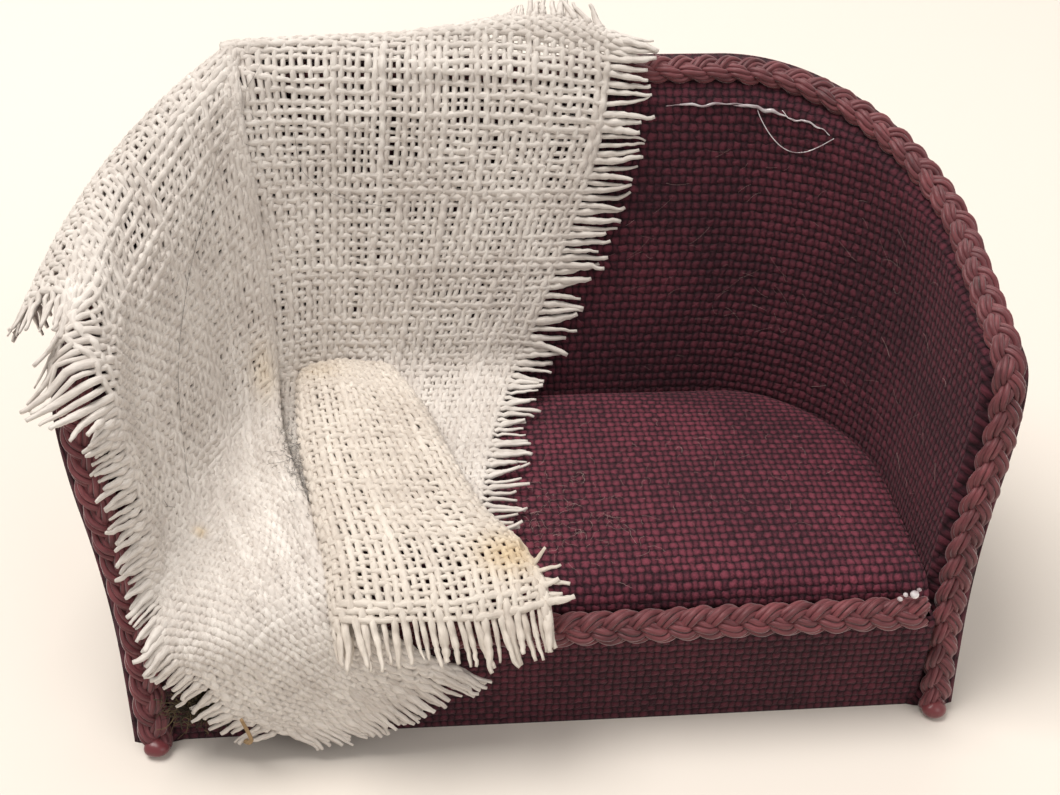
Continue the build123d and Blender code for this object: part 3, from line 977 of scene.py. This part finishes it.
def within_settee(p):
    """Whether a point is inside the wall, the seat or the apron."""
    x, y, z = p
    if z < 0 or abs(x) > 30 or y < FRONT:
        return False
    half = float(smooth_steps(z, HALF_WIDTHS))
    back = float(smooth_steps(z, BACK_LINES))
    if z > float(edge_height(y)) or not in_plan(x, y, half, back, CORNER_RADIUS):
        return z < SEAT_TOP and y > FRONT + 1.2 and in_plan(x, y, half, back, CORNER_RADIUS)
    side, depth = float(smooth_steps(z, ARM_THICKNESS)), float(smooth_steps(z, BACK_THICKNESS))
    in_space = in_plan(x, y, half - side, back - depth, CORNER_RADIUS - side)
    return not in_space or z < SEAT_TOP


def in_plan(x, y, half, back, radius):
    """Whether a place is inside a plan with straight sides, a straight back and two round corners."""
    if abs(x) > half or y > back:
        return False
    dx, dy = abs(x) - (half - radius), y - (back - radius)
    return dx <= 0 or dy <= 0 or dx * dx + dy * dy <= radius * radius


def normals_of(panel):
    """Unit normals of a grid of points."""
    u = np.gradient(panel, axis=1)
    v = np.gradient(panel, axis=0)
    return unit(np.cross(u, v))


def at_grid(field, r, c):
    """Bilinear values of a grid of vectors at fractional rows and columns."""
    rows, columns = field.shape[:2]
    r = np.clip(r, 0, rows - 1.001)
    c = np.clip(c, 0, columns - 1.001)
    i, j = r.astype(int), c.astype(int)
    fr, fc = (r - i)[:, None], (c - j)[:, None]
    return ((field[i, j] * (1 - fc) + field[i, j + 1] * fc) * (1 - fr)
            + (field[i + 1, j] * (1 - fc) + field[i + 1, j + 1] * fc) * fr)


def stains(points, warm):
    """How yellowed the cloth is at each point."""
    values = np.full(len(points), 0.35 * warm)
    for centre, size, strength in STAINS:
        near = np.linalg.norm((points - np.asarray(centre)) / np.asarray(size), axis=1)
        values = values + strength * np.exp(-near ** 2)
    return np.clip(values, 0, 1)


def weave_panel(panel, settings, seed, free, warp, weft, warm, fray):
    """Adds a panel's yarns to two bundles. free names the frayed edges: back, front, left, right,
    or right_low for the front part of the right one."""
    rng = np.random.default_rng(seed)
    normal = normals_of(panel)
    rows, columns = panel.shape[:2]
    width = float(np.median(lengths(panel, 1)[:, -1]))
    length = float(np.median(lengths(panel, 0)[-1]))
    ups, acrosses = int(width / settings.warp_pitch), int(length / settings.weft_pitch)
    bare = 2               # yarns pulled out along each frayed edge
    sides = 5

    def yarn(bundle, number, total, crossings, along_rows, start_free, end_free):
        """One yarn: over and under at each crossing, with its loose ends."""
        count = crossings * 2 + 1
        t = np.linspace(0, 1, count)
        place = np.full(count, (number + 0.5) / total)
        place = place + wander(rng, count, 22, 0.10 / total) + wander(rng, count, 5, 0.07 / total)
        if along_rows:
            r, c = t * (rows - 1), place * (columns - 1)
        else:
            r, c = place * (rows - 1), t * (columns - 1)
        line, out = at_grid(panel, r, c), at_grid(normal, r, c)
        wave = np.cos(math.pi * (t * crossings + number + (0.0 if along_rows else 1.0)))
        line = line + out * (wave * 0.085)[:, None]
        size = settings.yarn * (1 + wander(rng, count, 26, 0.16) + wander(rng, count, 6, 0.08)
                                + rng.normal(0, 0.06))
        for flag, at_end in ((start_free, False), (end_free, True)):
            if not flag:
                continue
            ends = line if at_end else line[::-1]
            heading = ends[-1] - ends[-5]
            heading /= np.linalg.norm(heading)
            face = out[-1] if at_end else out[0]
            sideways = np.cross(heading, face)
            long = settings.fringe * fray * rng.uniform(0.6, 1.1)
            k = np.linspace(0, 1, 9)[1:, None]
            drift, droop = rng.normal(0, 0.09), rng.normal(-0.04, 0.08)
            wiggle = wander(rng, 8, 3.5, 0.035)[:, None] * k
            extra = (ends[-1] + heading * k * long + sideways * (drift * k ** 1.5 + wiggle) * long
                     + face * (droop * k ** 2) * long)
            thin = size[-1 if at_end else 0] * np.linspace(0.9, 0.5, 8) * (1 + wander(rng, 8, 2, 0.1))
            if at_end:
                line, size = np.concatenate([line, extra]), np.concatenate([size, thin])
                out = np.concatenate([out, np.tile(face, (8, 1))])
            else:
                line, size = np.concatenate([extra[::-1], line]), np.concatenate([thin[::-1], size])
                out = np.concatenate([np.tile(face, (8, 1)), out])
        size = np.maximum(size, 0.05)
        radii = np.stack([size * 1.05, size * 0.72], -1)
        points, faces = tube(line, radii, sides, normal=out)
        run = np.repeat(lengths(line, 0), sides)
        uv = np.stack([np.tile(np.arange(sides) / sides, len(line)), run], -1)
        tone = np.clip(0.62 + rng.normal(0, 0.10) + np.repeat(wander(rng, len(line), 18, 0.08), sides), 0, 1)
        bundle.add(points, faces, tone, uv, stains(points, warm))

    for i in range(ups):
        if (i < bare and "left" in free) or (i >= ups - bare and "right" in free):
            continue
        yarn(warp, i, ups, acrosses, True, "back" in free, "front" in free)
    for j in range(acrosses):
        if (j < bare and "back" in free) or (j >= acrosses - bare and "front" in free):
            continue
        low = "right_low" in free and j > FLAP_HELD * acrosses
        yarn(weft, j, acrosses, ups, False, "left" in free, "right" in free or low)


def tuck(net, edge, amounts):
    """Adds columns under a panel's folded edge, so that the fold is round. Where the amount is
    negative the cloth goes on flat instead."""
    net = np.asarray(net, float)
    amounts = np.broadcast_to(np.asarray(amounts, float), len(net))[:, None]
    column = net[:, 0] if edge == "left" else net[:, -1]
    inward = unit(net[:, 1] - net[:, 0] if edge == "left" else net[:, -2] - net[:, -1])
    face = normals_of(net)[:, 0 if edge == "left" else -1]
    face *= np.sign(face[:, 2:3] - 0.8 * face[:, 1:2]) * np.clip(amounts, 0, 1)
    under = column + inward * amounts - face * 0.55
    bend = column - inward * np.maximum(0.12, -amounts / 2) - face * 0.22
    if edge == "left":
        return np.concatenate([under[:, None], bend[:, None], net], axis=1)
    return np.concatenate([net, bend[:, None], under[:, None]], axis=1)


class SETTEE_OT_throw(bpy.types.Operator):
    """Weave the gauze throw from single yarns over the settee, with its folds and frayed edges."""

    bl_idname = "settee.throw"
    bl_label = "Gauze Throw"

    def execute(self, context):
        settings = context.scene.settee_throw
        yarn = thread_material("gauze_yarn", tuple(settings.dark), tuple(settings.light), 0.85, 7.0,
                               sheen=0.15, warm=(1.0, 0.86, 0.62, 1))
        tree, braids = settee_tree()
        warp, weft = Bundle(), Bundle()
        cloth_points, cloth_faces = [], []
        # Net, gap to the settee in millimetres, free edges, seed, yellowing and share of the fringe.
        panels = (
            (RIGHT_PANEL, 0.40, ("back", "right"), 71, 0.0, 0.9),
            (tuck(LEFT_PANEL, "right", 1.4), 0.55, ("back", "left", "front"), 72, 0.0, 0.8),
            (tuck(tuck(FLAP, "left", 1.2), "right", (1.0, 1.0, 1.0, 0.9, 0.1, -0.5, -0.5)), 0.9,
             ("front", "right_low"), 73, 0.5, 0.65),
        )
        for net, gap, free, seed, warm, fray in panels:
            panel = spline(spline(net, 60, 0), 44, 1)
            panel = lay_on(panel, tree, braids, gap, 3)
            weave_panel(panel, settings, seed, free, warp, weft, warm, fray)
            cloth_faces += grid_faces(*panel.shape[:2], start=sum(len(p) for p in cloth_points))
            cloth_points.append(panel.reshape(-1, 3))
        cloth_tree = BVHTree.FromPolygons([tuple(p) for p in np.concatenate(cloth_points)], cloth_faces)
        pieces = [warp.piece("throw_warp", yarn, "throw"), weft.piece("throw_weft", yarn, "throw")]
        for piece in pieces:
            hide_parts("throw")
        rng = np.random.default_rng(81)
        fuzz = Bundle()
        fold_start, fold_end = np.array(FUZZY_FOLD)
        for _ in range(170):
            t = rng.uniform(0, 1)
            start = fold_start * (1 - t) + fold_end * t
            start = start + rng.normal(0, 1, 3) * [0.28, 0.5, 0.25]
            heading = rng.normal(0, 1, 3) * [0.6, 1.0, 0.5]
            line = fibre_line(rng, start, heading, rng.uniform(0.4, 1.6), 0.4)
            fuzz.add(*tube(line, rng.uniform(0.010, 0.018), 3), tone=rng.uniform(0, 0.8))
        for route in HAIRS:
            line = spline(np.asarray(route), 60, 0)
            for i, p in enumerate(line):
                here = cloth_tree.find_nearest(Vector(p))[0]
                line[i] = np.array(here) + np.array([0.05, -0.30, 0.30])
            fuzz.add(*tube(smooth_line(line, 6), 0.014, 4), tone=0.25)
        hair = debris_material("grey_hair", (0.10, 0.09, 0.09, 1), (0.45, 0.42, 0.38, 1))
        loose = fuzz.piece("throw_hairs", hair, "throw")
        pieces.append(loose)
        return {"FINISHED"}


def fibre_line(rng, start, heading, length, curl, count=14):
    """A thin fibre that wanders in a plane from a start point."""
    heading = np.asarray(heading, float) / np.linalg.norm(heading)
    turn = np.cumsum(rng.normal(0, curl, count))
    aside = np.cross(heading, [0, 0, 1.0])
    aside /= max(np.linalg.norm(aside), 1e-6)
    steps = heading * np.cos(turn)[:, None] + aside * np.sin(turn)[:, None]
    return np.asarray(start) + np.cumsum(steps, axis=0) * length / count


# Fibres round the seat's middle, on the whole seat and on the inner cover.
SEAT_MIDDLE_LINT, SEAT_LINT, WALL_LINT = 150, 260, 110


class SETTEE_OT_lint(bpy.types.Operator):
    """Scatter the lint on the seat and the inner cover."""

    bl_idname = "settee.lint"
    bl_label = "Lint"

    def execute(self, context):
        rng = np.random.default_rng(91)
        lint = debris_material("pale_lint", (0.16, 0.08, 0.08, 1), (0.46, 0.34, 0.32, 1))
        bundle = Bundle()
        grid = cushion_grid(context.scene.settee_cloth.crown)
        top = kdtree.KDTree(grid.shape[0] * grid.shape[1])
        for i, p in enumerate(grid.reshape(-1, 3)):
            top.insert((p[0], p[1], 0 if p[2] > SEAT_TOP - 1 else 99), i)
        top.balance()
        heights = grid.reshape(-1, 3)[:, 2]
        for i in range(SEAT_LINT):
            near_middle = i < SEAT_MIDDLE_LINT
            middle = (0.5, -6.5) if near_middle else (8.0, -2.0)
            x, y = rng.normal(middle, (2.6, 2.4) if near_middle else (8.0, 5.0))
            if abs(x) > 20 or not FRONT + 2 < y < 6:
                continue
            z = heights[top.find((x, y, 0))[1]] + rng.uniform(0.06, 0.22)
            line = fibre_line(rng, (x, y, z), (*rng.normal(0, 1, 2), 0), rng.uniform(0.25, 1.5), 0.35)
            line[:, 2] += np.abs(rng.normal(0, 0.08)) * np.sin(np.linspace(0, math.pi, len(line)))
            bundle.add(*tube(line, rng.uniform(0.007, 0.014), 3), tone=rng.beta(1.2, 2.4))
        for _ in range(WALL_LINT):
            s, z = rng.uniform(0.48, 0.93) * ROUND, rng.uniform(11, 30)
            if z > float(wall_top(np.array([s]), 1.0)[0]) - 2:
                continue
            length, slope, bend = rng.uniform(0.3, 1.4), rng.uniform(-1, 1), rng.normal(0, 0.4)
            t = np.linspace(0, 1, 10)
            line = wall_point(s + t * length, z + slope * length * t + bend * t * (1 - t), 1.0)
            line = line + unit(np.array([0.0, 3.0, 14.0]) - line) * 0.16
            bundle.add(*tube(line, rng.uniform(0.006, 0.011), 3), tone=rng.beta(1.0, 3.0))
        piece = bundle.piece("lint", lint)
        return {"FINISHED"}


# ---- hidden structure ----------------------------------------------------------------------------------
class SETTEE_OT_structure(bpy.types.Operator):
    """Give the card, wood and wadding under the covers their own finishes."""

    bl_idname = "settee.structure"
    bl_label = "Inner Structure"

    def execute(self, context):
        finishes = {
            "card": inner_material("grey_card", (0.62, 0.52, 0.40, 1), 1800.0),
            "wood": inner_material("raw_soft_wood", (0.78, 0.64, 0.45, 1), 700.0),
            "wadding": inner_material("fibre_wadding", (0.88, 0.86, 0.82, 1), 2600.0),
        }
        slots = {row["node"]: row["material_slot"] for row in frame["record"]["subparts"]}
        for node, piece in frame["nodes"].items():
            if slots[node] in finishes:
                piece.data.materials.clear()
                piece.data.materials.append(finishes[slots[node]])
        return {"FINISHED"}


# ---- stage ---------------------------------------------------------------------------------------------
# The paper sweep, in millimetres: half its width, its near end, where it bends, the bend and its top.
PAPER_HALF, PAPER_NEAR, PAPER_BEND_START, PAPER_BEND, PAPER_TOP = 1200.0, -900.0, 500.0, 300.0, 1500.0
# Lamps: name, place and aim in metres, size, power in watts and colour.
LAMPS = (
    ("key_lamp", (-0.14, 0.04, 0.42), (0, 0, 0.01), 0.24, 1.9, (1.0, 0.96, 0.92)),
    ("side_lamp", (0.30, -0.30, 0.28), (0, 0, 0.01), 0.30, 0.55, (1.0, 0.95, 0.92)),
    ("back_lamp", (0.10, 0.42, 0.35), (0, 0, 0.02), 0.35, 0.7, (1.0, 0.98, 0.96)),
)
ROOM_COLOUR, ROOM_STRENGTH = (1.0, 0.96, 0.92, 1), 0.5
# The camera's place in metres, where it looks and which way is up for it.
CAMERA_PLACE = (-0.00717, -0.07034, 0.06776)
CAMERA_FORWARD = (0.0742, 0.8013, -0.5936)
CAMERA_UP = (0.0311, 0.5931, 0.8045)


class SETTEE_OT_stage(bpy.types.Operator):
    """Set up the pale floor, the lamps, the world and the camera."""

    bl_idname = "settee.stage"
    bl_label = "Stage"

    def execute(self, context):
        scene, settings = context.scene, context.scene.settee_stage
        scene.view_settings.view_transform = "Standard"
        n = Nodes("pale_paper")
        n.set(Base_Color=tuple(settings.backdrop), Roughness=0.9, Specular_IOR_Level=0.1)
        bend = np.linspace(0, math.pi / 2, 24)
        x = np.array([-PAPER_HALF, PAPER_HALF])
        y = np.concatenate([[PAPER_NEAR], PAPER_BEND_START + PAPER_BEND * np.sin(bend),
                            [PAPER_BEND_START + PAPER_BEND]])
        z = np.concatenate([[0.0], PAPER_BEND - PAPER_BEND * np.cos(bend), [PAPER_TOP]])
        grid = np.stack(np.broadcast_arrays(x[None], y[:, None], z[:, None]), -1)
        mesh = bpy.data.meshes.new("paper_sweep")
        mesh.from_pydata([tuple(p) for p in grid.reshape(-1, 3) * MM], [], grid_faces(*grid.shape[:2]))
        mesh.polygons.foreach_set("use_smooth", [True] * len(mesh.polygons))
        mesh.materials.append(n.material)
        paper = bpy.data.objects.new("paper_sweep", mesh)
        scene.collection.objects.link(paper)

        world = bpy.data.worlds.new("soft_room")
        scene.world = world
        world.use_nodes = True
        background = world.node_tree.nodes["Background"]
        background.inputs[0].default_value = ROOM_COLOUR
        background.inputs[1].default_value = ROOM_STRENGTH

        for name, place, aim, size, power, colour in LAMPS:
            data = bpy.data.lights.new(name, "AREA")
            data.size, data.energy, data.color = size, power, colour
            light = bpy.data.objects.new(name, data)
            light.location = place
            light.rotation_euler = (Vector(aim) - Vector(place)).to_track_quat("-Z", "Y").to_euler()
            scene.collection.objects.link(light)

        camera = bpy.data.cameras.new("camera")
        camera.lens, camera.sensor_width = settings.lens, 36.0
        camera.clip_start, camera.clip_end = 0.005, 20.0
        eye = bpy.data.objects.new("camera", camera)
        forward = Vector(CAMERA_FORWARD).normalized()
        right = forward.cross(Vector(CAMERA_UP)).normalized()
        up = right.cross(forward)
        turn = Matrix((right, up, -forward)).transposed()
        eye.matrix_world = Matrix.Translation(CAMERA_PLACE) @ turn.to_4x4()
        scene.collection.objects.link(eye)
        scene.camera = eye
        return {"FINISHED"}


class SETTEE_PT_panel(bpy.types.Panel):
    """The settee's pieces and settings."""

    bl_label = "Tub Settee"
    bl_idname = "SETTEE_PT_panel"
    bl_space_type = "VIEW_3D"
    bl_region_type = "UI"
    bl_category = "Settee"

    def draw(self, context):
        for name, title, _ in PROPERTY_GROUPS:
            box = self.layout.box()
            box.label(text=title)
            settings = getattr(context.scene, name)
            for key in settings.bl_rna.properties.keys():
                if key not in {"rna_type", "name"}:
                    box.prop(settings, key)
        for operator in OPERATORS:
            self.layout.operator(operator.bl_idname)


PROPERTY_GROUPS = (
    ("settee_cloth", "Upholstery", SetteeCloth),
    ("settee_braid", "Braid", SetteeBraid),
    ("settee_throw", "Throw", SetteeThrow),
    ("settee_stage", "Stage", SetteeStage),
)
OPERATORS = (
    SETTEE_OT_stage, SETTEE_OT_structure, SETTEE_OT_wall_covers, SETTEE_OT_cushion, SETTEE_OT_apron,
    SETTEE_OT_braids, SETTEE_OT_glue, SETTEE_OT_debris, SETTEE_OT_lint, SETTEE_OT_throw,
)


def register():
    for name, _, group in PROPERTY_GROUPS:
        bpy.utils.register_class(group)
        setattr(bpy.types.Scene, name, bpy.props.PointerProperty(type=group))
    for operator in OPERATORS:
        bpy.utils.register_class(operator)
    bpy.utils.register_class(SETTEE_PT_panel)


def unregister():
    bpy.utils.unregister_class(SETTEE_PT_panel)
    for operator in reversed(OPERATORS):
        bpy.utils.unregister_class(operator)
    for name, _, group in PROPERTY_GROUPS:
        delattr(bpy.types.Scene, name)
        bpy.utils.unregister_class(group)


def main():
    register()
    for operator in OPERATORS:
        family, name = operator.bl_idname.split(".")
        getattr(getattr(bpy.ops, family), name)()


if __name__ == "__main__":
    main()
